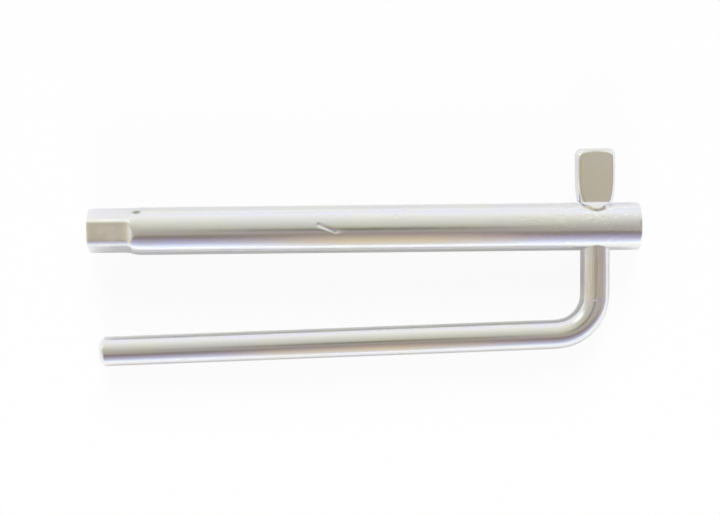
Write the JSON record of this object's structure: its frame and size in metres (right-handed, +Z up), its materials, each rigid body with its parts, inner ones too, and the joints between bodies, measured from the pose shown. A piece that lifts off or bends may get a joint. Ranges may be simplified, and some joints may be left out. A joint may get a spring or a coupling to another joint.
{
  "type": "radiator bleed key",
  "caption": "Hand key for bleeding radiators: thin steel tube with a hexagon socket end and a swivelling bent lever bar whose other end is pressed to a flat blade.",
  "frame": {"origin": "middle of the hexagon socket's mouth, on the tube's axis", "axes": "+X along the tube from the socket mouth to the lever end, +Z up with the key lying settled on a flat surface, +Y on the blade's side; the tube's lowest line and the lever's tip touch the surface at z = -0.005"},
  "size_m": [0.115, 0.0447, 0.01],
  "materials": {
    "tube_plating": "polished",
    "bar_plating": "polished"
  },
  "bodies": {
    "tube": {"socket_tube": "tube_plating"},
    "lever": {"lever_bar": "bar_plating"}
  },
  "joints": [
    {"name": "lever_swivel", "type": "hinge", "parent": "tube", "child": "lever", "pos_m": [0.1059, 0, 0], "axis": [0, 0.9972, 0.075], "continuous": true}
  ]
}
